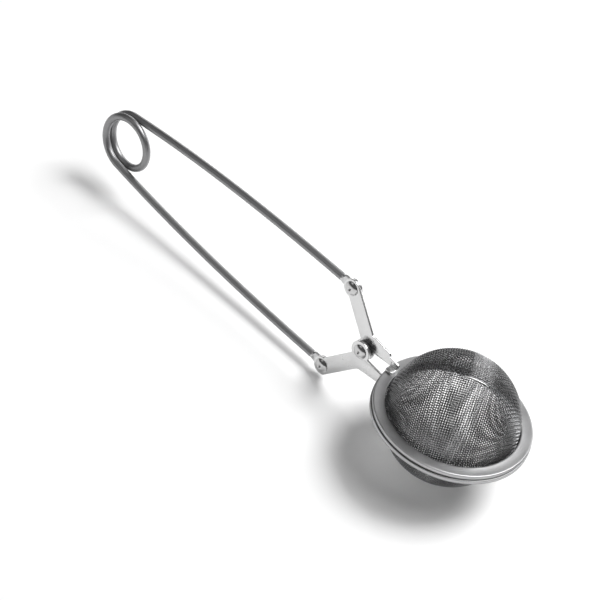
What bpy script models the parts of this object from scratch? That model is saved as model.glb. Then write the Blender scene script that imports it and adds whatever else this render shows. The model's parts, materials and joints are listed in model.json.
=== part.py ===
"""Tea infuser: a woven-mesh ball in two halves, opened by squeezing a sprung wire handle.

Metres, +Z up, +X towards the ball. The object lies level on its lower dome. The origin is
the bottom centre of its bounding box. Sizes below are in millimetres times MM.
"""
import math

import bmesh
import bpy
from mathutils import Matrix, Vector

MM = 0.001

# Ball: two pressed rims, each folded round the edge of a mesh dome.
RIM_RADIUS = 25.0 * MM            # upper rim
LOWER_RIM_RADIUS = 25.3 * MM      # lower rim, a little wider
RIM_INNER_RADIUS = 21.3 * MM
RIM_HEIGHT = 1.4 * MM
RIM_SHEET = 0.35 * MM
RIM_EDGE_ROUND = 0.3 * MM
HALF_GAP = 0.15 * MM              # each rim's distance from the parting plane
DOME_RADIUS = 21.0 * MM           # outside of the mesh
MESH_THICKNESS = 0.4 * MM
MESH_EDGE_RADIUS = 24.4 * MM
BALL_X = 35.3 * MM                # ball centre from the main pivot
BALL_Y = 2.0 * MM                 # ball centre from the middle of the two leg eyes

# Arms: two identical stampings, the lower one turned half round about X.
ARM_SHEET = 0.8 * MM
RIVET_BACK = 11.6 * MM            # leg rivets behind the pivot
RIVET_SIDE = 16.2 * MM            # leg rivets above or below the pivot
REAR_LOBE_RADIUS = 3.3 * MM
PIVOT_LOBE_RADIUS = 3.6 * MM
LINK_OFFSET = 2.0 * MM            # link's inner edge from the line between rivets, leg end
LINK_OFFSET_AT_PIVOT = 0.8 * MM
LINK_WAIST = 16                   # degrees round the rear lobe where the link's outer edge starts
ARM_CORNER = (1.1 * MM, 6.5 * MM)
BLADE_END = (8.8 * MM, 5.5 * MM)
TOE_START = (9.4 * MM, 4.5 * MM)
TOE_END = (13.3 * MM, 4.0 * MM)
SOLE_HEIGHT = 1.65 * MM           # underside of the tab that is welded to the rim
TAB_START = 10.6 * MM
TAB_WIDTH = 3.8 * MM

# Handle: one spring wire with a coil and a flattened eye at each end.
WIRE_RADIUS = 1.25 * MM
COIL_RADIUS = 9.4 * MM            # centreline
COIL_BACK = 113.7 * MM            # coil centre behind the pivot
COIL_Y = 0.5 * MM                 # coil's middle plane from the middle of the two leg eyes
COIL_HALF_WIDTH = 2.05 * MM       # each leg's offset in Y at the coil
EYE_OFFSET = 1.1 * MM             # each eye's offset in Y
ARM_PITCH = 2 * EYE_OFFSET        # from one arm's plane to the other's
EYE_RADIUS = 3.0 * MM
EYE_THICKNESS = 1.1 * MM
EYE_NECK = 4.6 * MM               # eye centre to the full round wire
LEG_SLOPE_AT_COIL = 0.16
LEG_SLOPE_AT_EYE = 0.0
COIL_SPLIT = 0.3 * MM             # gap where the coil ends and the upper leg's node starts

# Rivets.
SHANK_RADIUS = 1.0 * MM
HOLE_RADIUS = 1.15 * MM
LOOSE_HOLE_RADIUS = 1.65 * MM     # upper eye, which has play on its rivet
HEAD_RADIUS = 2.4 * MM
HEAD_HEIGHT = 0.9 * MM
DIMPLE_RADIUS = 0.8 * MM
DIMPLE_DEPTH = 0.3 * MM
TAIL_RADIUS = 2.1 * MM
TAIL_HEIGHT = 0.6 * MM
SPACER_RADIUS = 2.9 * MM
CLEARANCE = 0.05 * MM             # between faces that touch

# The frame: the pivot's place once the box's bottom centre is the origin.
REAR_X = -(COIL_BACK + COIL_RADIUS + WIRE_RADIUS)
FRONT_X = BALL_X + LOWER_RIM_RADIUS
PIVOT = Vector((-(REAR_X + FRONT_X) / 2, -BALL_Y, DOME_RADIUS))
# Half way between the arms' planes: each eye lies against its arm's far face.
ARM_AXIS_Y = -(EYE_THICKNESS + ARM_SHEET) / 2 - CLEARANCE

STEEL = {
    "satin_steel": ((0.62, 0.62, 0.63), 0.34),
    "bright_steel": ((0.80, 0.80, 0.81), 0.22),
    "spring_steel": ((0.50, 0.50, 0.51), 0.30),
    "mesh_steel": ((0.48, 0.48, 0.49), 0.42),
}


def clear_scene():
    """Remove every object in the file."""
    for thing in list(bpy.data.objects):
        bpy.data.objects.remove(thing, do_unlink=True)


def steel(name):
    """A bare steel finish."""
    found = bpy.data.materials.get(name)
    if found:
        return found
    colour, roughness = STEEL[name]
    material = bpy.data.materials.new(name)
    material.use_nodes = True
    shader = material.node_tree.nodes["Principled BSDF"]
    shader.inputs["Base Color"].default_value = (*colour, 1.0)
    shader.inputs["Metallic"].default_value = 1.0
    shader.inputs["Roughness"].default_value = roughness
    return material


def add_object(name, mesh, finish, place, parent=None, turn=None):
    """Put a mesh in the scene at a place given from the pivot."""
    thing = bpy.data.objects.new(name, mesh)
    bpy.context.scene.collection.objects.link(thing)
    if not mesh.materials:
        mesh.materials.append(steel(finish))
    thing.location = PIVOT + Vector(place)
    if turn:
        thing.rotation_euler = turn
    if parent:
        bpy.context.view_layer.update()
        thing.parent = parent
        thing.matrix_parent_inverse = parent.matrix_world.inverted()
    return thing


def add_pivot(name, place, parent=None):
    """An empty on a joint's axis."""
    empty = bpy.data.objects.new(name, None)
    empty.empty_display_size = 5 * MM
    bpy.context.scene.collection.objects.link(empty)
    empty.location = PIVOT + Vector(place)
    if parent:
        bpy.context.view_layer.update()
        empty.parent = parent
        empty.matrix_parent_inverse = parent.matrix_world.inverted()
    return empty


def mesh_from(bm, name, smooth_angle=35):
    """Finish a bmesh as a closed mesh with outward normals."""
    bmesh.ops.recalc_face_normals(bm, faces=bm.faces)
    mesh = bpy.data.meshes.new(name)
    bm.to_mesh(mesh)
    bm.free()
    mesh.shade_smooth()
    mesh.set_sharp_from_angle(angle=math.radians(smooth_angle))
    return mesh


def arc(cx, cz, radius, start, end, steps):
    """Points on an arc, angles in degrees from +X."""
    points = []
    for i in range(steps + 1):
        angle = math.radians(start + (end - start) * i / steps)
        points.append((cx + radius * math.cos(angle), cz + radius * math.sin(angle)))
    return points


def rounded(before, corner, after, radius, steps=3):
    """An arc in place of a corner."""
    c = Vector(corner)
    a = (Vector(before) - c).normalized()
    b = (Vector(after) - c).normalized()
    half = a.angle(b) / 2
    centre = c + (a + b).normalized() * (radius / math.sin(half))
    first = c + a * (radius / math.tan(half))
    last = c + b * (radius / math.tan(half))
    points = []
    for i in range(steps + 1):
        spoke = (first - centre).lerp(last - centre, i / steps).normalized()
        points.append(tuple(centre + spoke * radius))
    return points


def turned(profile, segments, name, smooth_angle=35):
    """Spin a closed profile of (radius, height) points about Z."""
    bm = bmesh.new()
    rings = []
    for radius, height in profile:
        if radius < 1e-9:
            rings.append([bm.verts.new((0, 0, height))])
            continue
        ring = []
        for i in range(segments):
            angle = 2 * math.pi * i / segments
            ring.append(bm.verts.new((radius * math.cos(angle), radius * math.sin(angle), height)))
        rings.append(ring)
    for ring, after in zip(rings, rings[1:] + rings[:1]):
        if len(ring) == 1 and len(after) == 1:
            continue
        for i in range(segments):
            j = (i + 1) % segments
            corners = [ring[i % len(ring)], ring[j % len(ring)], after[j % len(after)], after[i % len(after)]]
            bm.faces.new(list(dict.fromkeys(corners)))
    return mesh_from(bm, name, smooth_angle)


def extruded(outline, low, high):
    """A bmesh prism: an (x, z) outline between two Y planes."""
    bm = bmesh.new()
    near = [bm.verts.new((x, low, z)) for x, z in outline]
    far = [bm.verts.new((x, high, z)) for x, z in outline]
    bm.faces.new(near)
    bm.faces.new(far)
    for i in range(len(outline)):
        j = (i + 1) % len(outline)
        bm.faces.new((near[i], near[j], far[j], far[i]))
    return bm


def swept(stations, sides=12):
    """A bmesh tube through stations of (point, half width, half thickness in Y)."""
    bm = bmesh.new()
    rings = []
    for k, (point, half_width, half_thickness) in enumerate(stations):
        before = stations[max(k - 1, 0)][0]
        after = stations[min(k + 1, len(stations) - 1)][0]
        along = (after - before).normalized()
        side = along.cross(Vector((0, 1, 0))).normalized()
        up = side.cross(along)
        ring = []
        for i in range(sides):
            angle = 2 * math.pi * (i + 0.5) / sides
            offset = side * (half_width * math.cos(angle)) + up * (half_thickness * math.sin(angle))
            ring.append(bm.verts.new(point + offset))
        rings.append(ring)
    for ring, after in zip(rings, rings[1:]):
        for i in range(sides):
            j = (i + 1) % sides
            bm.faces.new((ring[i], ring[j], after[j], after[i]))
    bm.faces.new(rings[0])
    bm.faces.new(rings[-1])
    return bm


def cut_or_join(thing, other_mesh, operation, name):
    """Boolean a helper mesh, given in the same local space, into an object."""
    helper = bpy.data.objects.new(name, other_mesh)
    bpy.context.scene.collection.objects.link(helper)
    helper.matrix_world = thing.matrix_world
    helper.parent = thing
    helper.matrix_parent_inverse = Matrix.Identity(4)
    helper.location = (0, 0, 0)
    helper.rotation_euler = (0, 0, 0)
    helper.hide_render = True
    helper.display_type = "WIRE"
    modifier = thing.modifiers.new(name, "BOOLEAN")
    modifier.operation = operation
    modifier.solver = "EXACT"
    modifier.object = helper
    return helper


def pin_cutter(radius, centre, length, name, segments=24):
    """A cylinder along Y, for a rivet hole."""
    mesh = turned([(0, -length / 2), (radius, -length / 2), (radius, length / 2), (0, length / 2)],
                  segments, name)
    mesh.transform(Matrix.Translation(Vector(centre)) @ Matrix.Rotation(math.radians(90), 4, "X"))
    return mesh


def rim_mesh(radius, name):
    """A folded ring, open on its inner side where the mesh's edge enters."""
    low = HALF_GAP
    high = HALF_GAP + RIM_HEIGHT
    r = RIM_EDGE_ROUND
    outside = arc(radius - r, low + r, r, -90, 0, 3) + arc(radius - r, high - r, r, 0, 90, 3)
    inside = [
        (RIM_INNER_RADIUS, high),
        (RIM_INNER_RADIUS, high - RIM_SHEET),
        (radius - RIM_SHEET, high - RIM_SHEET),
        (radius - RIM_SHEET, low + RIM_SHEET),
        (RIM_INNER_RADIUS, low + RIM_SHEET),
        (RIM_INNER_RADIUS, low),
    ]
    return turned(outside + inside, 72, name, 40)


def dome_mesh(name):
    """One half of the ball's mesh, with its flat edge."""
    middle = HALF_GAP + RIM_HEIGHT / 2
    low = middle - MESH_THICKNESS / 2
    high = middle + MESH_THICKNESS / 2
    inner = DOME_RADIUS - MESH_THICKNESS
    steps = 9
    base_out = math.degrees(math.asin(high / DOME_RADIUS))
    base_in = math.degrees(math.asin(low / inner))
    outside = arc(0, 0, DOME_RADIUS, base_out, 90, steps)
    inside = arc(0, 0, inner, 90, base_in, steps)
    outside[-1] = (0, DOME_RADIUS)
    inside[0] = (0, inner)
    return turned([(MESH_EDGE_RADIUS, low), (MESH_EDGE_RADIUS, high)] + outside + inside, 48, name, 60)


def arm_outline():
    """The flat stamping's outline, (x, z) from the pivot, for the upper arm."""
    bearing = math.degrees(math.atan2(RIVET_SIDE, -RIVET_BACK))
    rear = (-RIVET_BACK, RIVET_SIDE)
    to_corner = Vector(ARM_CORNER) - Vector(rear)
    tangent = math.degrees(math.atan2(to_corner.y, to_corner.x)
                           + math.acos(REAR_LOBE_RADIUS / to_corner.length)) + LINK_WAIST
    rear_end = bearing + 180 - math.degrees(math.asin(LINK_OFFSET / REAR_LOBE_RADIUS))
    lobe_start = bearing + math.degrees(math.asin(LINK_OFFSET_AT_PIVOT / PIVOT_LOBE_RADIUS))
    lobe_end = 360 + 16
    sole_start = (TAB_START - 1.2 * MM, SOLE_HEIGHT)
    points = [(TOE_END[0], SOLE_HEIGHT)]
    points += rounded((TOE_END[0], SOLE_HEIGHT), TOE_END, TOE_START, 0.6 * MM)
    points += [TOE_START]
    points += rounded(TOE_START, BLADE_END, ARM_CORNER, 0.5 * MM)
    rear_tangent = arc(*rear, REAR_LOBE_RADIUS, tangent, tangent, 1)[0]
    points += rounded(BLADE_END, ARM_CORNER, rear_tangent, 1.5 * MM, 4)
    points += arc(*rear, REAR_LOBE_RADIUS, tangent, rear_end, 14)
    points += arc(0, 0, PIVOT_LOBE_RADIUS, lobe_start, lobe_end, 16)
    points += [sole_start]
    return points


def arm_mesh():
    """The stamping's flat part, upper arm's way up, its plane at +ARM_PITCH / 2."""
    low = (ARM_PITCH - ARM_SHEET) / 2
    return mesh_from(extruded(arm_outline(), low, low + ARM_SHEET), "arm_plate")


def tab_mesh():
    """The tab bent square from the blade, which lies on the rim."""
    high = (ARM_PITCH + ARM_SHEET) / 2
    low = high - TAB_WIDTH
    front = TOE_END[0]
    corners = [(TAB_START, high), (TAB_START, low), (front, low), (front, high)]
    outline = [corners[0]]
    outline += rounded(corners[0], corners[1], corners[2], 0.6 * MM)
    outline += rounded(corners[1], corners[2], corners[3], 0.6 * MM)
    outline += [corners[3]]
    bm = extruded(outline, 0, ARM_SHEET)
    mesh = mesh_from(bm, "arm_tab")
    mesh.transform(Matrix.Translation((0, 0, SOLE_HEIGHT)) @ Matrix(((1, 0, 0, 0), (0, 0, 1, 0),
                                                                     (0, 1, 0, 0), (0, 0, 0, 1))))
    mesh.flip_normals()
    return mesh


def make_arm(name, parent, turn):
    """One arm, with its tab and its two rivet holes."""
    arm = add_object(name, arm_mesh(), "bright_steel", (0, ARM_AXIS_Y, 0), None, turn)
    if parent:
        bpy.context.view_layer.update()
        world = arm.matrix_world.copy()
        arm.parent = parent
        arm.matrix_world = world
    bpy.context.view_layer.update()
    cut_or_join(arm, tab_mesh(), "UNION", name + "_tab")
    y = ARM_PITCH / 2
    cut_or_join(arm, pin_cutter(HOLE_RADIUS, (0, y, 0), 3 * MM, "hole"), "DIFFERENCE", name + "_pivot_hole")
    rear = (-RIVET_BACK, y, RIVET_SIDE)
    cut_or_join(arm, pin_cutter(HOLE_RADIUS, rear, 3 * MM, "hole"), "DIFFERENCE", name + "_rear_hole")
    return arm


def rivet_mesh(stack, name):
    """A domed rivet along Y: head towards -Y, its underside at y = 0, tail past the stack."""
    dome = []
    for i in range(1, 6):
        angle = math.radians(90 * i / 6)
        dome.append((DIMPLE_RADIUS + (HEAD_RADIUS - DIMPLE_RADIUS) * math.cos(angle),
                     0.25 * MM + (HEAD_HEIGHT - 0.25 * MM) * math.sin(angle)))
    head = [(SHANK_RADIUS, 0), (HEAD_RADIUS, 0), (HEAD_RADIUS, 0.25 * MM)] + dome
    head += [(DIMPLE_RADIUS, HEAD_HEIGHT), (0, HEAD_HEIGHT - DIMPLE_DEPTH)]
    tail = [(0, -stack - TAIL_HEIGHT), (TAIL_RADIUS - 0.5 * MM, -stack - TAIL_HEIGHT),
            (TAIL_RADIUS, -stack - 0.2 * MM), (TAIL_RADIUS, -stack), (SHANK_RADIUS, -stack)]
    mesh = turned(tail + head, 24, name)
    mesh.transform(Matrix.Rotation(math.radians(90), 4, "X"))
    return mesh


def ring_mesh(outer, inner, thickness, name):
    """A flat ring about Y, centred on y = 0."""
    half = thickness / 2
    mesh = turned([(inner, -half), (outer, -half), (outer, half), (inner, half)], 24, name)
    mesh.transform(Matrix.Rotation(math.radians(90), 4, "X"))
    return mesh


def leg_point(side, share):
    """A point on a leg's centreline: share 0 at the coil, 1 at the round wire's end."""
    angle = math.atan(LEG_SLOPE_AT_COIL)
    x0 = -COIL_BACK - COIL_RADIUS * math.sin(angle)
    z0 = COIL_RADIUS * math.cos(angle)
    x1 = -RIVET_BACK
    z1 = RIVET_SIDE
    run = x1 - x0
    t = share
    z = (z0 * (2 * t ** 3 - 3 * t ** 2 + 1) + z1 * (3 * t ** 2 - 2 * t ** 3)
         + run * LEG_SLOPE_AT_COIL * (t ** 3 - 2 * t ** 2 + t)
         + run * LEG_SLOPE_AT_EYE * (t ** 3 - t ** 2))
    y0 = COIL_Y + side * COIL_HALF_WIDTH
    y = y0 + (side * EYE_OFFSET - y0) * t
    return Vector((x0 + run * t, y, side * z))


def leg_stations(side, steps=22):
    """Stations of one leg from the coil to inside its eye, where the wire is flattened."""
    length = (leg_point(side, 1) - leg_point(side, 0)).length
    neck = 1 - EYE_NECK / length
    half_eye = EYE_THICKNESS / 2
    stations = []
    for i in range(steps):
        stations.append((leg_point(side, neck * i / (steps - 1)), WIRE_RADIUS, WIRE_RADIUS))
    flat = ((3.9 * MM, 1.6 * MM, 0.8 * MM), (3.4 * MM, 1.85 * MM, 0.95 * half_eye),
            (2.0 * MM, 1.9 * MM, 0.9 * half_eye))
    for back, half_width, half_thickness in flat:
        stations.append((leg_point(side, 1 - back / length), half_width, half_thickness))
    return stations


def coil_stations(steps=42):
    """Stations round the coil, from the lower leg to just short of the upper leg."""
    lead = math.atan(LEG_SLOPE_AT_COIL)
    start = lead
    full = 3 * math.pi - 2 * lead
    end = start + full - COIL_SPLIT / COIL_RADIUS
    stations = []
    for i in range(steps + 1):
        angle = start + (end - start) * i / steps
        y = COIL_Y - COIL_HALF_WIDTH + 2 * COIL_HALF_WIDTH * (angle - start) / full
        point = Vector((-COIL_BACK - COIL_RADIUS * math.sin(angle), y, -COIL_RADIUS * math.cos(angle)))
        stations.append((point, WIRE_RADIUS, WIRE_RADIUS))
    return stations


def make_leg(name, side, stations, hole_radius, parent):
    """A wire leg with its eye. The stations are given from the pivot."""
    origin = Vector((-RIVET_BACK, side * EYE_OFFSET, side * RIVET_SIDE))
    shifted = [(point - origin, width, thickness) for point, width, thickness in stations]
    mesh = mesh_from(swept(shifted), name)
    leg = add_object(name, mesh, "spring_steel", origin)
    if parent:
        bpy.context.view_layer.update()
        world = leg.matrix_world.copy()
        leg.parent = parent
        leg.matrix_world = world
    bpy.context.view_layer.update()
    eye = pin_cutter(EYE_RADIUS, (0, 0, 0), EYE_THICKNESS, "eye", 28)
    cut_or_join(leg, eye, "UNION", name + "_eye")
    cut_or_join(leg, pin_cutter(hole_radius, (0, 0, 0), 4 * MM, "hole"), "DIFFERENCE", name + "_hole")
    return leg


def build():
    """Make every piece."""
    clear_scene()
    opening = add_pivot("ball_pivot", (0, ARM_AXIS_Y, 0))
    lower_eye = add_pivot("lower_leg_pivot", (-RIVET_BACK, -EYE_OFFSET, -RIVET_SIDE))
    coil = add_pivot("coil_pivot", (-COIL_BACK, COIL_Y, 0), lower_eye)

    half_turn = (math.pi, 0, 0)
    make_arm("lower_arm", None, half_turn)
    make_arm("upper_arm", opening, None)

    ball = (BALL_X, BALL_Y, 0)
    add_object("lower_rim", rim_mesh(LOWER_RIM_RADIUS, "lower_rim"), "satin_steel", ball, None, half_turn)
    add_object("lower_mesh_dome", dome_mesh("lower_mesh_dome"), "mesh_steel", ball, None, half_turn)
    add_object("upper_rim", rim_mesh(RIM_RADIUS, "upper_rim"), "satin_steel", ball, opening)
    add_object("upper_mesh_dome", dome_mesh("upper_mesh_dome"), "mesh_steel", ball, opening)

    face = (ARM_PITCH + ARM_SHEET) / 2
    stack = ARM_PITCH + ARM_SHEET + 2 * CLEARANCE
    add_object("pivot_rivet", rivet_mesh(stack, "pivot_rivet"), "bright_steel",
               (0, ARM_AXIS_Y - face - CLEARANCE, 0))
    spacer = ring_mesh(SPACER_RADIUS, HOLE_RADIUS, ARM_PITCH - ARM_SHEET - 2 * CLEARANCE, "pivot_spacer")
    add_object("pivot_spacer", spacer, "satin_steel", (0, ARM_AXIS_Y, 0))

    stack = ARM_SHEET + EYE_THICKNESS + 3 * CLEARANCE
    lower_face = ARM_AXIS_Y - face - CLEARANCE
    upper_face = ARM_AXIS_Y + face - ARM_SHEET - CLEARANCE
    add_object("lower_leg_rivet", rivet_mesh(stack, "lower_leg_rivet"), "bright_steel",
               (-RIVET_BACK, lower_face, -RIVET_SIDE))
    add_object("upper_leg_rivet", rivet_mesh(stack, "upper_leg_rivet"), "bright_steel",
               (-RIVET_BACK, upper_face, RIVET_SIDE), opening)

    lower_stations = coil_stations()[::-1] + leg_stations(-1)[1:]
    make_leg("handle_coil_and_lower_leg", -1, lower_stations, HOLE_RADIUS, lower_eye)
    make_leg("handle_upper_leg", 1, leg_stations(1), LOOSE_HOLE_RADIUS, coil)


build()
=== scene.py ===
"""The looks of the tea infuser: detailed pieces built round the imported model.

Lengths are in millimetres times MM, in the model's own frame: +X to the ball, +Y along the
pivots, +Z up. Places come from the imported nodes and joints.
"""

import json
import math

import bmesh
import bpy
import numpy as np
from mathutils import Matrix, Quaternion, Vector


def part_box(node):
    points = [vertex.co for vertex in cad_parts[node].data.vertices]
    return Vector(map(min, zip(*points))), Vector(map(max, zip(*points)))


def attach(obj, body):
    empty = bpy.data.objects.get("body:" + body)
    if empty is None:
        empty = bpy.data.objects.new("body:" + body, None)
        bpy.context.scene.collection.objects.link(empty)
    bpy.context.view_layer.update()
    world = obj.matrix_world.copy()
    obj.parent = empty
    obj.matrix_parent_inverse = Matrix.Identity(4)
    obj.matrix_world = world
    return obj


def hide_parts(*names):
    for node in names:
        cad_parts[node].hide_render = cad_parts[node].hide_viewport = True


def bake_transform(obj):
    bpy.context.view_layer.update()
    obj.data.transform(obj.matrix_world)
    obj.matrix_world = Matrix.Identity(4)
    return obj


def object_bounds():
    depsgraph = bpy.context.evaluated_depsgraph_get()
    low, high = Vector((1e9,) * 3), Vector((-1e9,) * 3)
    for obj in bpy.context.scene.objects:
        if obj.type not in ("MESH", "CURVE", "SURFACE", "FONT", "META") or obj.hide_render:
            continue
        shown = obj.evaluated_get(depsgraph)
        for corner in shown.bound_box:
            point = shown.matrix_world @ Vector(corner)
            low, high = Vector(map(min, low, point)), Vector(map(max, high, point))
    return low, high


MM = 0.001
TAU = 2 * math.pi

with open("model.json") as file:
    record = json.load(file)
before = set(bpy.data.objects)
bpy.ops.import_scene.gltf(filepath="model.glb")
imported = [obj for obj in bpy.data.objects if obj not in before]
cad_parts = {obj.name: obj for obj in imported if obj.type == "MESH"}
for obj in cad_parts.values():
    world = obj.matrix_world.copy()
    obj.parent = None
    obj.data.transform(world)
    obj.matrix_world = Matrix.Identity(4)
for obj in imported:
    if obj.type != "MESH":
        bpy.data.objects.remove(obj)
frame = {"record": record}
cad_low, cad_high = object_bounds()
joints = {j["name"]: Vector(j["pos_m"]) for j in frame["record"]["behaviour"]["joints"]}


def middle(node):
    """The centre of a CAD node's box."""
    low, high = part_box(node)
    return (low + high) / 2


PIVOT = joints["ball_opening"]
COIL = joints["coil_flex"]
LOWER_EYE = joints["lower_leg_turn"]
UPPER_RIVET = middle("upper_leg_rivet")
BALL = Vector((middle("upper_rim").x, middle("upper_rim").y, PIVOT.z))


# ---------------------------------------------------------------- materials

BROAD_SCALE = 160.0               # stains and uneven polish, per metre
LEAST_ROUGHNESS = 0.04
GRAIN_HEIGHT = 0.02 * MM


def shader_nodes(name, colour, metallic, roughness):
    """A material, its link function, its Principled shader and a node adder."""
    material = bpy.data.materials.new(name)
    material.use_nodes = True
    tree = material.node_tree
    shader = tree.nodes["Principled BSDF"]
    shader.inputs["Base Color"].default_value = (*colour, 1)
    shader.inputs["Metallic"].default_value = metallic
    shader.inputs["Roughness"].default_value = roughness

    def add(kind, **values):
        node = tree.nodes.new(kind)
        for key, value in values.items():
            if key in node.inputs:
                node.inputs[key].default_value = value
            else:
                setattr(node, key, value)
        return node

    return material, tree.links.new, shader, add


def steel(name, colour, roughness, grain, stretch=(1, 1, 1), grain_depth=0.1, spread=0.12, mottle=0.1):
    """Bare steel: a fine directional grain, uneven polish and faint staining.

    grain is the grain's frequency per metre, and stretch squeezes it along each axis. spread is
    how far the roughness strays either way, and mottle how far the stains darken the colour.
    """
    material, link, shader, add = shader_nodes(name, colour, 1.0, roughness)
    where = add("ShaderNodeTexCoord")
    squeeze = add("ShaderNodeMapping")
    squeeze.inputs["Scale"].default_value = stretch
    link(where.outputs["Object"], squeeze.inputs["Vector"])
    fine = add("ShaderNodeTexNoise", Scale=grain, Detail=3.0, Roughness=0.6)
    link(squeeze.outputs["Vector"], fine.inputs["Vector"])
    broad = add("ShaderNodeTexNoise", Scale=BROAD_SCALE, Detail=4.0, Roughness=0.55)
    link(where.outputs["Object"], broad.inputs["Vector"])

    polish = add("ShaderNodeMapRange")
    polish.inputs["To Min"].default_value = max(roughness - spread, LEAST_ROUGHNESS)
    polish.inputs["To Max"].default_value = roughness + spread
    both = add("ShaderNodeMath", operation="ADD")
    link(fine.outputs["Fac"], both.inputs[0])
    link(broad.outputs["Fac"], both.inputs[1])
    half = add("ShaderNodeMath", operation="MULTIPLY")
    half.inputs[1].default_value = 0.5
    link(both.outputs[0], half.inputs[0])
    link(half.outputs[0], polish.inputs["Value"])
    link(polish.outputs["Result"], shader.inputs["Roughness"])

    stain = add("ShaderNodeValToRGB")
    stain.color_ramp.elements[0].position = 0.3
    stain.color_ramp.elements[1].position = 0.7
    stain.color_ramp.elements[0].color = (*[c * (1 - mottle) for c in colour], 1)
    stain.color_ramp.elements[1].color = (*[min(c * (1 + mottle * 0.4), 1) for c in colour], 1)
    link(half.outputs[0], stain.inputs["Fac"])
    link(stain.outputs["Color"], shader.inputs["Base Color"])

    bump = add("ShaderNodeBump", Strength=grain_depth, Distance=GRAIN_HEIGHT)
    link(fine.outputs["Fac"], bump.inputs["Height"])
    link(bump.outputs["Normal"], shader.inputs["Normal"])
    return material


WIRE_STEEL = steel("drawn_wire_steel", (0.31, 0.31, 0.315), 0.45, 2600, (0.05, 1, 1), 0.3)
ARM_STEEL = steel("tumbled_arm_steel", (0.68, 0.68, 0.68), 0.26, 3000, (0.5, 1, 1), 0.08, 0.08, 0.06)
RIM_STEEL = steel("satin_rim_steel", (0.44, 0.44, 0.445), 0.33, 3500, (1, 1, 1), 0.3)
MESH_STEEL = steel("mesh_wire_steel", (0.21, 0.21, 0.213), 0.15, 4000, (1, 1, 1), 0.1)
# painted highlight: the raised float wire is coloured far brighter than the cloth to stand for the light it
# catches
FLOAT_HIGHLIGHT_STEEL = steel("painted_highlight_wire_steel", (0.85, 0.85, 0.85), 0.30, 4000, (1, 1, 1), 0.1)
RIVET_STEEL = steel("rivet_steel", (0.58, 0.58, 0.58), 0.14, 2500, (1, 1, 1), 0.15, 0.08)
EYE_STEEL = steel("flattened_eye_steel", (0.62, 0.62, 0.625), 0.26, 2800, (0.5, 1, 1), 0.15, 0.08)
# painted shade: the spacer sits in shadow between the arms, and its colour is made dark to stand for that
# shade
SPACER_STEEL = steel("shaded_spacer_steel", (0.22, 0.22, 0.22), 0.35, 2500, (1, 1, 1), 0.2, 0.1)


# ---------------------------------------------------------------- mesh tools

def finish_piece(name, mesh, material, body, nodes, smooth_angle):
    """A piece from a finished mesh: normals, shading, material and its ties to the CAD."""
    bm = bmesh.new()
    bm.from_mesh(mesh)
    bmesh.ops.recalc_face_normals(bm, faces=bm.faces)
    bm.to_mesh(mesh)
    bm.free()
    mesh.shade_smooth()
    mesh.set_sharp_from_angle(angle=math.radians(smooth_angle))
    mesh.materials.clear()
    mesh.materials.append(material)
    piece = bpy.data.objects.new(name, mesh)
    bpy.context.scene.collection.objects.link(piece)
    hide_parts(*nodes)
    if body:
        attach(piece, body)
    return piece


def lathe(profile, segments, wobble=None):
    """Points and faces of a closed (radius, height) profile spun about Z.

    wobble(k, s) gives an offset (radius, height) for profile point k in segment s.
    """
    verts, faces = [], []
    count = len(profile)
    for s in range(segments):
        angle = TAU * s / segments
        for k, (radius, height) in enumerate(profile):
            if wobble:
                dr, dz = wobble(k, s)
                radius, height = radius + dr, height + dz
            verts.append((radius * math.cos(angle), radius * math.sin(angle), height))
    for s in range(segments):
        t = (s + 1) % segments
        for k in range(count):
            m = (k + 1) % count
            if profile[k][0] < 1e-9 and profile[m][0] < 1e-9:
                continue
            faces.append((s * count + k, t * count + k, t * count + m, s * count + m))
    return np.array(verts), faces


def cleaned(verts, faces, name):
    """A mesh with doubled points merged."""
    mesh = bpy.data.meshes.new(name)
    mesh.from_pydata([tuple(v) for v in verts], [], faces)
    bm = bmesh.new()
    bm.from_mesh(mesh)
    bmesh.ops.remove_doubles(bm, verts=bm.verts, dist=1e-7)
    bmesh.ops.dissolve_degenerate(bm, edges=bm.edges, dist=1e-8)
    bm.to_mesh(mesh)
    bm.free()
    return mesh


def arc(cx, cz, radius, start, end, steps):
    """Points on an arc, angles in degrees from +X."""
    angles = np.radians(np.linspace(start, end, steps + 1))
    return [(cx + radius * math.cos(a), cz + radius * math.sin(a)) for a in angles]


def tube(points, radii, sides):
    """Vertices and faces of an open-ended round tube, by parallel transport."""
    points = np.asarray(points, float)
    along = np.gradient(points, axis=0)
    along /= np.linalg.norm(along, axis=1)[:, None]
    side = np.cross(along[0], (0.3, 0.5, 0.81))
    side /= np.linalg.norm(side)
    angles = TAU * np.arange(sides) / sides
    rings = []
    for p, a, r in zip(points, along, radii):
        side = side - a * (side @ a)
        side /= np.linalg.norm(side)
        up = np.cross(a, side)
        rings.append(p + r * (np.outer(np.cos(angles), side) + np.outer(np.sin(angles), up)))
    verts = np.concatenate(rings)
    k = np.arange(sides)
    base = (np.arange(len(points) - 1) * sides)[:, None]
    n = (k + 1) % sides
    faces = np.stack([base + k, base + n, base + sides + n, base + sides + k], axis=-1).reshape(-1, 4)
    return verts, faces


def drill(thing, centre, radius, length=6 * MM, segments=48):
    """Cut a round hole along Y."""
    half = length / 2
    verts, faces = lathe([(0, -half), (radius, -half), (radius, half), (0, half)], segments)
    mesh = cleaned(verts, faces, "drill")
    mesh.transform(Matrix.Translation(centre) @ Matrix.Rotation(math.pi / 2, 4, "X"))
    cut(thing, mesh)


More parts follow.
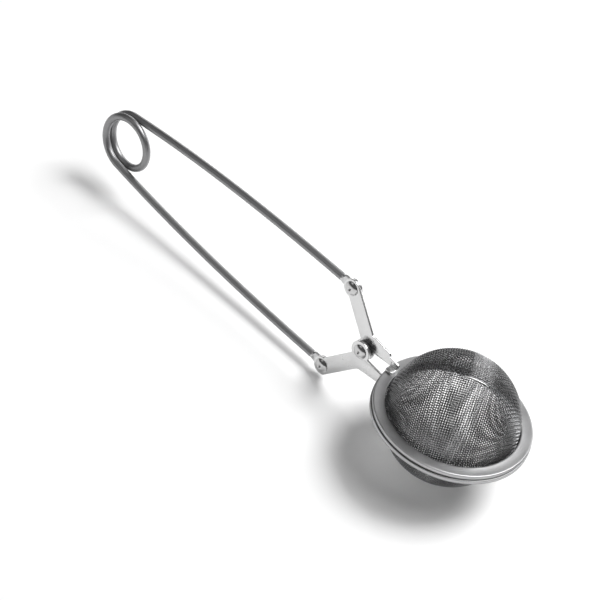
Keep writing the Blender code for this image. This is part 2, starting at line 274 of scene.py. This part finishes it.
def cut(thing, mesh):
    """Take a closed mesh out of an object, applied at once."""
    bm = bmesh.new()
    bm.from_mesh(mesh)
    bmesh.ops.recalc_face_normals(bm, faces=bm.faces)
    bm.to_mesh(mesh)
    bm.free()
    helper = bpy.data.objects.new("helper", mesh)
    bpy.context.scene.collection.objects.link(helper)
    modifier = thing.modifiers.new("cut", "BOOLEAN")
    modifier.operation = "DIFFERENCE"
    modifier.solver = "EXACT"
    modifier.object = helper
    thing.data = evaluated(thing)
    thing.modifiers.clear()
    bpy.data.objects.remove(helper, do_unlink=True)


def evaluated(thing):
    """A copy of an object's mesh with its modifiers applied."""
    bpy.context.view_layer.update()
    graph = bpy.context.evaluated_depsgraph_get()
    return bpy.data.meshes.new_from_object(thing.evaluated_get(graph))


def applied(thing, name):
    """The object's final mesh; the object itself is removed."""
    mesh = evaluated(thing)
    mesh.name = name
    bpy.data.objects.remove(thing, do_unlink=True)
    return mesh


# ---------------------------------------------------------------- handle

WIRE_RADIUS = 1.3 * MM
COIL_HALF_WIDTH = 2.05 * MM
EYE_RADIUS = 3.0 * MM
EYE_HALF = 0.55 * MM              # half the flattened eye's thickness
NECK_RADIUS = 1.85 * MM           # half the flattened neck's width
NECK_START = 6.0 * MM             # eye centre to where the leg's close stations start
HOLE_RADIUS = 1.15 * MM
LOOSE_HOLE_RADIUS = 1.65 * MM     # the upper eye has play on its rivet
WIRE_SIDES = 20
FLAT_END = 3.9 * MM               # eye centre to the end of the flat neck
ROUND_START = 5.0 * MM            # eye centre to the full round wire
EYE_BRIGHT = 5.3 * MM             # eye centre to the end of the bright hammered part
LEG_SLOPE = 0.16                  # each leg's slope where it leaves the coil
COIL_RADIUS = COIL.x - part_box("handle_coil_and_lower_leg")[0].x - WIRE_RADIUS
UPPER_EYE = Vector((UPPER_RIVET.x, 2 * (PIVOT.y + 1.0 * MM) - LOWER_EYE.y, 2 * PIVOT.z - LOWER_EYE.z))


def leg_point(side, share):
    """A point on a leg's centreline: share 0 at the coil, 1 at the eye's centre."""
    lead = math.atan(LEG_SLOPE)
    eye = UPPER_EYE if side > 0 else LOWER_EYE
    start = Vector((COIL.x - COIL_RADIUS * math.sin(lead), COIL.y + side * COIL_HALF_WIDTH,
                    COIL.z + side * COIL_RADIUS * math.cos(lead)))
    run = eye.x - start.x
    ease = 3 * share ** 2 - 2 * share ** 3
    bow = share ** 3 - 2 * share ** 2 + share
    z = start.z + (eye.z - start.z) * ease + side * run * LEG_SLOPE * bow
    return Vector((start.x + run * share, start.y + (eye.y - start.y) * share, z))


def smooth(share):
    """A share from 0 to 1 with soft ends."""
    share = min(max(share, 0), 1)
    return share * share * (3 - 2 * share)


def section(back):
    """Half width, half thickness and flatness of the wire at a distance behind the eye's centre."""
    flat = 1 - smooth((back - FLAT_END) / (ROUND_START - FLAT_END))
    neck = WIRE_RADIUS + (NECK_RADIUS - WIRE_RADIUS) * flat
    width = neck
    if back < EYE_RADIUS:
        width = math.sqrt(max(EYE_RADIUS ** 2 - back ** 2, 0))
        if back > 0:
            width = max(width, neck)
    return width, WIRE_RADIUS + (EYE_HALF - WIRE_RADIUS) * flat, flat


def leg_stations(side):
    """(point, half width, half thickness, flatness) from the coil to the eye's far tip."""
    stations = []
    length = (leg_point(side, 1) - leg_point(side, 0)).length
    for i in range(1, 71):
        back = length + (NECK_START - length) * i / 70
        stations.append((leg_point(side, 1 - back / length), WIRE_RADIUS, WIRE_RADIUS, 0.0))
    tip_start = 0.6 * EYE_RADIUS
    for i in range(1, 25):
        back = NECK_START + (tip_start - NECK_START) * i / 24
        stations.append((leg_point(side, 1 - back / length), *section(back)))
    eye = leg_point(side, 1)
    inward = (eye - leg_point(side, 0.99)).normalized()
    tip_angle = math.acos(0.6)
    for i in range(1, 21):
        back = EYE_RADIUS * math.cos(tip_angle + (math.pi - tip_angle) * i / 20)
        back = max(back, -EYE_RADIUS * 0.9995)
        stations.append((eye - inward * back, *section(back)))
    return stations


def coil_stations(steps=150):
    """Stations round the coil's one and a half turns, from the lower leg to the upper."""
    lead = math.atan(LEG_SLOPE)
    full = 3 * math.pi - 2 * lead
    stations = []
    for i in range(1, steps):
        angle = lead + full * i / steps
        y = COIL.y - COIL_HALF_WIDTH + 2 * COIL_HALF_WIDTH * i / steps
        point = Vector((COIL.x - COIL_RADIUS * math.sin(angle), y, COIL.z - COIL_RADIUS * math.cos(angle)))
        stations.append((point, WIRE_RADIUS, WIRE_RADIUS, 0.0))
    return stations


def make_handle():
    """The whole handle as one bent wire with a flattened, pierced eye at each end."""
    ends = [(leg_point(s, 0), WIRE_RADIUS, WIRE_RADIUS, 0.0) for s in (-1, 1)]
    stations = leg_stations(-1)[::-1] + [ends[0]] + coil_stations() + [ends[1]] + leg_stations(1)
    sides = WIRE_SIDES
    rings = []
    for k, (point, half_width, half_thickness, flat) in enumerate(stations):
        before = stations[max(k - 1, 0)][0]
        after = stations[min(k + 1, len(stations) - 1)][0]
        along = (after - before).normalized()
        side = along.cross(Vector((0, 1, 0))).normalized()
        up = side.cross(along)
        power = 1 - 0.55 * flat                   # squarer corners where the wire is flat
        for i in range(sides):
            angle = TAU * (i + 0.5) / sides
            c, s = math.cos(angle), math.sin(angle)
            c = math.copysign(abs(c) ** power, c)
            s = math.copysign(abs(s) ** power, s)
            rings.append(point + side * (half_width * c) + up * (half_thickness * s))
    faces = []
    for k in range(len(stations) - 1):
        for i in range(sides):
            j = (i + 1) % sides
            faces.append((k * sides + i, k * sides + j, (k + 1) * sides + j, (k + 1) * sides + i))
    last = (len(stations) - 1) * sides
    faces.append(tuple(range(sides)))
    faces.append(tuple(range(last, last + sides)))
    mesh = cleaned(rings, faces, "handle_wire")
    body = bpy.data.objects.new("handle_body", mesh)
    bpy.context.scene.collection.objects.link(body)
    for eye, radius in ((LOWER_EYE, HOLE_RADIUS), (UPPER_EYE, LOOSE_HOLE_RADIUS)):
        drill(body, eye, radius)
    mesh = applied(body, "handle_wire")
    wire = finish_piece("handle_wire", mesh, WIRE_STEEL, None,
                        ["handle_coil_and_lower_leg", "handle_upper_leg"], 50)
    wire.data.materials.append(EYE_STEEL)
    for face in wire.data.polygons:
        if min((face.center - eye).length for eye in (LOWER_EYE, UPPER_EYE)) < EYE_BRIGHT:
            face.material_index = 1
    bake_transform(wire)
    return wire


# ---------------------------------------------------------------- arms

ARM_SHEET = 0.8 * MM
REAR = (LOWER_EYE.x - PIVOT.x, PIVOT.z - LOWER_EYE.z)   # leg rivet from the pivot
REAR_LOBE_RADIUS = 3.3 * MM
PIVOT_LOBE_RADIUS = 3.6 * MM
LINK_OFFSET = 2.0 * MM            # link's inner edge from the line between rivets, leg end
LINK_OFFSET_AT_PIVOT = 0.8 * MM
LINK_WAIST = 16                   # degrees round the rear lobe where the link's outer edge starts
ARM_CORNER = (1.1 * MM, 6.5 * MM)
BLADE_END = (8.8 * MM, 5.5 * MM)
TOE_START = (9.4 * MM, 4.5 * MM)
TOE_END = (13.3 * MM, 4.0 * MM)
SOLE = 1.65 * MM                  # underside of the tab
TAB_START = 10.7 * MM
TAB_WIDTH = 3.8 * MM
BEND_RADIUS = 0.7 * MM            # inside of the tab's bend
EDGE_BREAK = 0.14 * MM
ARM_PITCH = 2.2 * MM              # from one arm's plane to the other's


def rounded(before, corner, after, radius, steps=5):
    """An arc in place of a corner."""
    c = Vector(corner)
    a = (Vector(before) - c).normalized()
    b = (Vector(after) - c).normalized()
    half = a.angle(b) / 2
    centre = c + (a + b).normalized() * (radius / math.sin(half))
    first = c + a * (radius / math.tan(half))
    last = c + b * (radius / math.tan(half))
    points = []
    for i in range(steps + 1):
        spoke = (first - centre).lerp(last - centre, i / steps).normalized()
        points.append(tuple(centre + spoke * radius))
    return points


def arm_pattern():
    """The stamping laid flat: (x, z) from the pivot, the tab still hanging below the bend."""
    rear = (-abs(REAR[0]), REAR[1])
    bearing = math.degrees(math.atan2(rear[1], rear[0]))
    to_corner = Vector(ARM_CORNER) - Vector(rear)
    tangent = math.degrees(math.atan2(to_corner.y, to_corner.x)
                           + math.acos(REAR_LOBE_RADIUS / to_corner.length)) + LINK_WAIST
    rear_end = bearing + 180 - math.degrees(math.asin(LINK_OFFSET / REAR_LOBE_RADIUS))
    lobe_start = bearing + math.degrees(math.asin(LINK_OFFSET_AT_PIVOT / PIVOT_LOBE_RADIUS))
    neutral = BEND_RADIUS + ARM_SHEET / 2
    bend_top = SOLE + ARM_SHEET / 2 + neutral
    tab_end = bend_top - neutral * math.pi / 2 - (TAB_WIDTH - ARM_SHEET / 2 - neutral)
    front = TOE_END[0]
    points = rounded((front, 0), (front, tab_end), (TAB_START, tab_end), 0.7 * MM)[::-1]
    points += rounded((front, tab_end), TOE_END, TOE_START, 0.5 * MM)
    points += [TOE_START]
    points += rounded(TOE_START, BLADE_END, ARM_CORNER, 0.4 * MM)
    rear_tangent = arc(*rear, REAR_LOBE_RADIUS, tangent, tangent, 1)[0]
    points += rounded(BLADE_END, ARM_CORNER, rear_tangent, 1.5 * MM, 8)
    points += arc(*rear, REAR_LOBE_RADIUS, tangent, rear_end, 32)
    points += arc(0, 0, PIVOT_LOBE_RADIUS, lobe_start, 360 + 16, 36)
    points += [(TAB_START - 1.3 * MM, SOLE), (TAB_START - 0.25 * MM, SOLE)]
    points += [(TAB_START - 0.25 * MM, bend_top + 0.1 * MM), (TAB_START, bend_top + 0.1 * MM)]
    points += rounded((TAB_START, 0), (TAB_START, tab_end), (front, tab_end), 0.7 * MM)
    return points, bend_top, neutral


def make_arm(name, node, upper, body):
    """One stamped arm, its tab bent round a real bend, its edges broken."""
    outline, bend_top, neutral = arm_pattern()
    bm = bmesh.new()
    bm.faces.new([bm.verts.new((x, 0, z)) for x, z in outline])
    for i in range(13):
        height = bend_top - neutral * math.pi / 2 * i / 12
        bmesh.ops.bisect_plane(bm, geom=bm.verts[:] + bm.edges[:] + bm.faces[:],
                               plane_co=(0, 0, height), plane_no=(0, 0, 1), dist=1e-9)
    mid = bend_top - neutral * math.pi / 2
    for v in bm.verts:
        x, _, z = v.co
        if z < bend_top - 1e-9 and x > TAB_START - 0.1 * MM:
            run = bend_top - z
            angle = min(run / neutral, math.pi / 2)
            v.co.y = -neutral * (1 - math.cos(angle)) - max(mid - z, 0)
            v.co.z = bend_top - neutral * math.sin(angle)
    mesh = bpy.data.meshes.new(name)
    bm.to_mesh(mesh)
    bm.free()
    arm = bpy.data.objects.new(name + "_sheet", mesh)
    bpy.context.scene.collection.objects.link(arm)
    skin = arm.modifiers.new("sheet", "SOLIDIFY")
    skin.thickness = ARM_SHEET
    skin.offset = 0
    arm.data = evaluated(arm)
    arm.modifiers.clear()
    drill(arm, Vector((0, 0, 0)), HOLE_RADIUS, 3 * MM)
    drill(arm, Vector((-abs(REAR[0]), 0, REAR[1])), HOLE_RADIUS, 3 * MM)
    edge = arm.modifiers.new("broken_edge", "BEVEL")
    edge.width = EDGE_BREAK
    edge.segments = 3
    edge.limit_method = "ANGLE"
    edge.angle_limit = math.radians(50)
    edge.use_clamp_overlap = False
    mesh = applied(arm, name)
    place = Matrix.Translation(PIVOT)
    if not upper:
        place = place @ Matrix.Rotation(math.pi, 4, "X")
    mesh.transform(place @ Matrix.Translation((0, ARM_PITCH / 2, 0)))
    return finish_piece(name, mesh, ARM_STEEL, body, [node], 35)


# ---------------------------------------------------------------- rivets

SHANK_RADIUS = 1.0 * MM
HEAD_RADIUS = 2.4 * MM
HEAD_HEIGHT = 0.9 * MM
HEAD_EDGE = 0.15 * MM             # height of the straight edge round the head
DIMPLE_RADIUS = 0.75 * MM
DIMPLE_DEPTH = 0.5 * MM
TAIL_RADIUS = 2.1 * MM
TAIL_HEIGHT = 0.6 * MM
TAIL_ROUND = 0.35 * MM
TAIL_DISH = 0.12 * MM
CHAMFER = 0.05 * MM
GROOVE = 0.2 * MM                 # depth and half width of the spacer's groove


def make_rivet(name, node, body):
    """A domed rivet with a dimple, its head towards -Y and its tail rolled over towards +Y."""
    low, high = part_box(node)
    centre = (low + high) / 2
    front, rear = low.y, high.y
    under_head = front + HEAD_HEIGHT
    profile = [(0, rear - TAIL_DISH), (0.5 * MM, rear), (TAIL_RADIUS - 0.45 * MM, rear)]
    profile += arc(TAIL_RADIUS - TAIL_ROUND, rear - TAIL_ROUND, TAIL_ROUND, 90, 0, 6)[1:]
    profile += [(TAIL_RADIUS, rear - TAIL_HEIGHT + CHAMFER), (SHANK_RADIUS, rear - TAIL_HEIGHT)]
    profile += [(SHANK_RADIUS, under_head), (HEAD_RADIUS - 0.1 * MM, under_head)]
    profile += [(HEAD_RADIUS, under_head - 0.1 * MM)]
    for i in range(1, 13):
        share = 1 - i / 12
        profile.append((DIMPLE_RADIUS + (HEAD_RADIUS - DIMPLE_RADIUS) * share ** 0.8,
                        front + (HEAD_HEIGHT - HEAD_EDGE) * share ** 1.5))
    for i in range(1, 7):
        angle = math.pi / 2 * i / 6
        profile.append((DIMPLE_RADIUS * (1 - math.sin(angle)), front + DIMPLE_DEPTH * math.sin(angle) ** 1.2))
    verts, faces = lathe(profile, 64)
    mesh = cleaned(verts, faces, name)
    turn = Matrix(((1, 0, 0, 0), (0, 0, 1, 0), (0, -1, 0, 0), (0, 0, 0, 1)))
    mesh.transform(Matrix.Translation((centre.x, 0, centre.z)) @ turn)
    return finish_piece(name, mesh, RIVET_STEEL, body, [node], 40)


def make_spacer():
    """The ring between the two arms at the pivot, with a turned groove."""
    low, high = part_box("pivot_spacer")
    half = (high.y - low.y) / 2
    outer = (high.x - low.x) / 2
    soft = 0.15 * MM
    profile = [(HOLE_RADIUS, -half), (outer - soft, -half), (outer, -half + soft), (outer, -GROOVE),
               (outer - GROOVE, 0), (outer, GROOVE), (outer, half - soft), (outer - soft, half),
               (HOLE_RADIUS, half)]
    verts, faces = lathe(profile, 64)
    mesh = cleaned(verts, faces, "pivot_spacer_ring")
    mesh.transform(Matrix.Translation(middle("pivot_spacer")) @ Matrix.Rotation(math.pi / 2, 4, "X"))
    return finish_piece("pivot_spacer_ring", mesh, SPACER_STEEL, "lower_half", ["pivot_spacer"],
                        30)


# ---------------------------------------------------------------- rims

RIM_INNER = 21.4 * MM
RIM_SHEET = 0.35 * MM
PARTING = 0.15 * MM               # each rim's distance from the parting plane
RIM_SEGMENTS = 400
RIPPLE = 0.10 * MM                # depth of the cloth's mark on the hem


def make_rim(name, node, side, body, phase):
    """A folded rim: a flat satin flange, a rolled hem, and the cloth's faint ripple on it."""
    low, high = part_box(node)
    radius = (high.x - low.x) / 2
    near = PARTING
    far = near + (high.z - low.z)
    lip = 0.12 * MM
    roll = 0.28 * MM
    back = radius - RIM_SHEET
    profile = [(RIM_INNER + lip, far - RIM_SHEET), (RIM_INNER, far - RIM_SHEET + lip), (RIM_INNER, far - lip)]
    profile += [(RIM_INNER + 0.05 * MM, far - 0.03 * MM), (RIM_INNER + lip + 0.1 * MM, far)]
    flange = 8
    for i in range(1, flange):
        share = i / flange
        sag = 0.05 * MM * math.sin(math.pi * share)
        profile.append((RIM_INNER + (radius - roll - RIM_INNER) * share, far - sag))
    start = len(profile)
    profile += arc(radius - roll, far - roll, roll, 90, 8, 8)
    profile += arc(radius - roll * 0.9, near + roll * 0.9, roll * 0.9, -8, -90, 8)
    end = len(profile)
    profile += [(radius - 1.6 * MM, near), (RIM_INNER + lip, near), (RIM_INNER, near + lip),
                (RIM_INNER, near + RIM_SHEET - lip), (RIM_INNER + lip, near + RIM_SHEET),
                (back - 0.2 * MM, near + RIM_SHEET), (back, near + RIM_SHEET + 0.2 * MM),
                (back, far - RIM_SHEET - 0.2 * MM), (back - 0.2 * MM, far - RIM_SHEET)]

    def wobble(k, s):
        if not start < k < end - 1:
            return 0.0, 0.0
        sway = math.sin(TAU * (s / RIM_SEGMENTS * 3 + phase)) * 0.5 + 0.5
        ridge = 1 if (s + (k // 2)) % 2 else -1
        return ridge * RIPPLE * (0.35 + 0.65 * sway), 0.0

    verts, faces = lathe(profile, RIM_SEGMENTS, wobble)
    verts[:, 2] *= side
    verts += np.array(BALL)
    mesh = cleaned(verts, faces, name)
    return finish_piece(name, mesh, RIM_STEEL, body, [node], 50)


# ---------------------------------------------------------------- woven domes

CLOTH_PITCH = 0.76 * MM
CLOTH_WIRE = 0.135 * MM           # radius of one wire
CLOTH_SIDES = 5                   # faces round one wire
CLOTH_HALF_DEPTH = 0.22 * MM      # from the cloth's middle surface to its crowns
CLOTH_TURN = math.radians(31)     # the upper weave's bearing from +X
LOWER_CLOTH_TURN = math.radians(33)
FLOAT_ROW = -5                    # the wire that stands proud of the upper cloth
FLOAT_SPAN = (-3, 8)              # the crossings between which it does
FLOAT_LIFT = 0.22 * MM
CLOTH_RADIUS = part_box("upper_mesh_dome")[1].z - PIVOT.z - CLOTH_HALF_DEPTH
FOOT_HEIGHT = 1.55 * MM           # where the sphere ends and the cloth flares into the rim
FLARE = 0.6 * MM                  # radius of that flare
SKIRT = 0.9 * MM                  # flat cloth inside the rim


def dome_point(direction):
    """A unit direction's place on the pressed cloth: sphere, flare and skirt by arc length.

    Returns the point from the ball's centre and the surface's outward normal.
    """
    theta = math.acos(max(-1.0, min(1.0, direction[2])))
    foot = math.acos(FOOT_HEIGHT / CLOTH_RADIUS)
    if theta <= foot:
        return CLOTH_RADIUS * direction, direction
    level = np.array([direction[0], direction[1], 0.0])
    level /= np.linalg.norm(level)
    extra = CLOTH_RADIUS * (theta - foot)
    r0, z0 = CLOTH_RADIUS * math.sin(foot), FOOT_HEIGHT
    turn = min(extra / FLARE, foot)
    heading = turn - foot
    r = r0 + FLARE * (math.sin(heading) + math.sin(foot))
    z = z0 + FLARE * (math.cos(foot) - math.cos(heading))
    r += max(extra - FLARE * foot, 0.0)
    normal = -math.sin(heading) * level + math.cos(heading) * np.array([0.0, 0.0, 1.0])
    return r * level + np.array([0, 0, z]), normal


def cloth_net():
    """Crossings of a square cloth laid on a sphere, its wires neither stretched nor pressed together.

    Each new crossing is its opposite corner's mirror image in the plane through its two neighbours.
    """
    step = CLOTH_PITCH / CLOTH_RADIUS
    foot = math.acos(FOOT_HEIGHT / CLOTH_RADIUS)
    limit = foot + (FLARE * foot + SKIRT) / CLOTH_RADIUS
    count = int(limit / step) + 2
    net = {(0, 0): np.array([0.0, 0.0, 1.0])}
    for i in range(1, count):
        net[i, 0] = np.array([math.sin(i * step), 0.0, math.cos(i * step)])
        net[0, i] = np.array([0.0, math.sin(i * step), math.cos(i * step)])
    for i in range(1, count):
        for j in range(1, count):
            if (i - 1, j) not in net or (i, j - 1) not in net or (i - 1, j - 1) not in net:
                continue
            a, b, c = net[i - 1, j], net[i, j - 1], net[i - 1, j - 1]
            n = np.cross(a, b)
            n /= np.linalg.norm(n)
            p = c - 2 * (c @ n) * n
            if math.acos(max(-1.0, min(1.0, p[2]))) < limit + step:
                net[i, j] = p
    full = {}
    for (i, j), p in net.items():
        for si in (1, -1):
            for sj in (1, -1):
                full[i * si, j * sj] = p * np.array([si, sj, 1.0])
    keep = {}
    for key, p in full.items():
        if math.acos(max(-1.0, min(1.0, p[2]))) <= limit:
            keep[key] = p
    return keep, count


def make_dome(name, node, side, body, turn, proud=False):
    """A woven dome: two families of wires that pass over and under each other.

    side is 1 for the upper dome and -1 for the lower. Where proud is set, one wire stands out
    of the cloth over a few crossings, and there it is coloured bright as a painted highlight.
    """
    net, count = cloth_net()
    c, s = math.cos(turn), math.sin(turn)
    spin = np.array([[c, -s, 0], [s, c, 0], [0, 0, 1]])
    places = {}
    for key, p in net.items():
        places[key] = dome_point(spin @ p)
    lift = CLOTH_WIRE * 0.96
    all_verts, all_faces, bright, base = [], [], [], 0
    for family in (0, 1):
        for fixed in range(-count, count + 1):
            run, radii = [], []
            for moving in range(-count, count + 1):
                key = (moving, fixed) if family == 0 else (fixed, moving)
                if key not in places:
                    continue
                point, normal = places[key]
                sign = 1 if (key[0] + key[1] + family) % 2 else -1
                first, last = FLOAT_SPAN
                raised = proud and family == 0 and fixed == FLOAT_ROW and first <= moving <= last
                if raised:
                    share = math.sin(math.pi * (moving - first) / (last - first)) ** 0.4
                    run.append(point + normal * (lift + FLOAT_LIFT * share))
                    radii.append(CLOTH_WIRE * (1 + 0.5 * share))
                else:
                    run.append(point + normal * lift * sign)
                    radii.append(CLOTH_WIRE)
            if len(run) < 3:
                continue
            verts, faces = tube(run, radii, CLOTH_SIDES)
            # the raised span's faces take the bright painted-highlight material
            bright += [1 if r > CLOTH_WIRE * 1.2 else 0 for r in radii[:-1] for _ in range(CLOTH_SIDES)]
            all_verts.append(verts)
            all_faces.append(faces + base)
            base += len(verts)
    verts = np.concatenate(all_verts)
    verts[:, 2] *= side
    verts += np.array(BALL)
    faces = np.concatenate(all_faces)
    if side < 0:
        faces = faces[:, ::-1]
    mesh = bpy.data.meshes.new(name)
    mesh.from_pydata(verts.tolist(), [], faces.tolist())
    mesh.shade_smooth()
    mesh.materials.append(MESH_STEEL)
    if proud:
        mesh.materials.append(FLOAT_HIGHLIGHT_STEEL)
        mesh.polygons.foreach_set("material_index", bright)
    piece = bpy.data.objects.new(name, mesh)
    bpy.context.scene.collection.objects.link(piece)
    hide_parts(node)
    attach(piece, body)
    return piece


# ---------------------------------------------------------------- build

make_handle()
make_arm("upper_arm_stamping", "upper_arm", True, "upper_half")
make_arm("lower_arm_stamping", "lower_arm", False, "lower_half")
make_rivet("pivot_rivet_head", "pivot_rivet", "lower_half")
make_rivet("lower_leg_rivet_head", "lower_leg_rivet", "lower_half")
make_rivet("upper_leg_rivet_head", "upper_leg_rivet", "upper_half")
make_spacer()
make_rim("upper_rim_ring", "upper_rim", 1, "upper_half", 0.1)
make_rim("lower_rim_ring", "lower_rim", -1, "lower_half", 0.6)
make_dome("upper_woven_dome", "upper_mesh_dome", 1, "upper_half", CLOTH_TURN, True)
make_dome("lower_woven_dome", "lower_mesh_dome", -1, "lower_half", LOWER_CLOTH_TURN)


# ---------------------------------------------------------------- floor, lights, camera

FLOOR_GAP = 0.05 * MM


def make_floor():
    """A plain white table top that the lower dome stands on."""
    material, link, shader, add = shader_nodes("white_table", (0.93, 0.93, 0.93), 0.0, 0.7)
    shader.inputs["Specular IOR Level"].default_value = 0.2
    half = 1.5
    corners = [(-half, -half, 0), (half, -half, 0), (half, half, 0), (-half, half, 0)]
    mesh = bpy.data.meshes.new("table_top")
    mesh.from_pydata(corners, [], [(0, 1, 2, 3)])
    mesh.materials.append(material)
    floor = bpy.data.objects.new("table_top", mesh)
    floor.location.z = cad_low.z - FLOOR_GAP
    bpy.context.scene.collection.objects.link(floor)


def make_light(name, place, size, power, aim=(0.03, 0, 0.02)):
    """A soft box, size wide and high, that looks at the object."""
    data = bpy.data.lights.new(name, "AREA")
    data.energy = power
    data.shape = "RECTANGLE"
    data.size = size[0]
    data.size_y = size[1]
    light = bpy.data.objects.new(name, data)
    light.location = place
    light.rotation_mode = "QUATERNION"
    light.rotation_quaternion = (Vector(aim) - Vector(place)).to_track_quat("-Z", "Y")
    bpy.context.scene.collection.objects.link(light)


def make_world(strength):
    """A dim grey room."""
    world = bpy.data.worlds.new("room")
    world.use_nodes = True
    world.node_tree.nodes["Background"].inputs["Color"].default_value = (0.9, 0.9, 0.9, 1)
    world.node_tree.nodes["Background"].inputs["Strength"].default_value = strength
    bpy.context.scene.world = world


def make_camera():
    """The camera: above the near side, towards the ball's end, rolled a little."""
    azimuth, elevation, roll = (math.radians(a) for a in (33.290, 40.574, 17.800))
    back = Vector((math.sin(azimuth) * math.cos(elevation), -math.cos(azimuth) * math.cos(elevation),
                   math.sin(elevation)))
    data = bpy.data.cameras.new("camera")
    data.sensor_width = 36.0
    data.lens = 108.77
    camera = bpy.data.objects.new("camera", data)
    camera.location = (0.24235, -0.36589, 0.39113)
    camera.rotation_mode = "QUATERNION"
    camera.rotation_quaternion = (-back).to_track_quat("-Z", "Y") @ Quaternion((0, 0, 1), roll)
    bpy.context.scene.collection.objects.link(camera)
    bpy.context.scene.camera = camera


make_floor()
make_world(0.135)
make_light("back_box", (0.20, 0.40, 0.78), (0.46, 0.46), 6.6)
make_light("overhead_box", (0.30, 0.12, 0.78), (0.46, 0.46), 2.8)
make_light("front_box", (-0.42, -0.62, 0.62), (0.50, 0.50), 0.5)
make_light("backdrop", (-0.20, 1.10, 0.32), (2.00, 0.55), 8.0)
make_camera()
bpy.context.scene.view_settings.view_transform = "Standard"
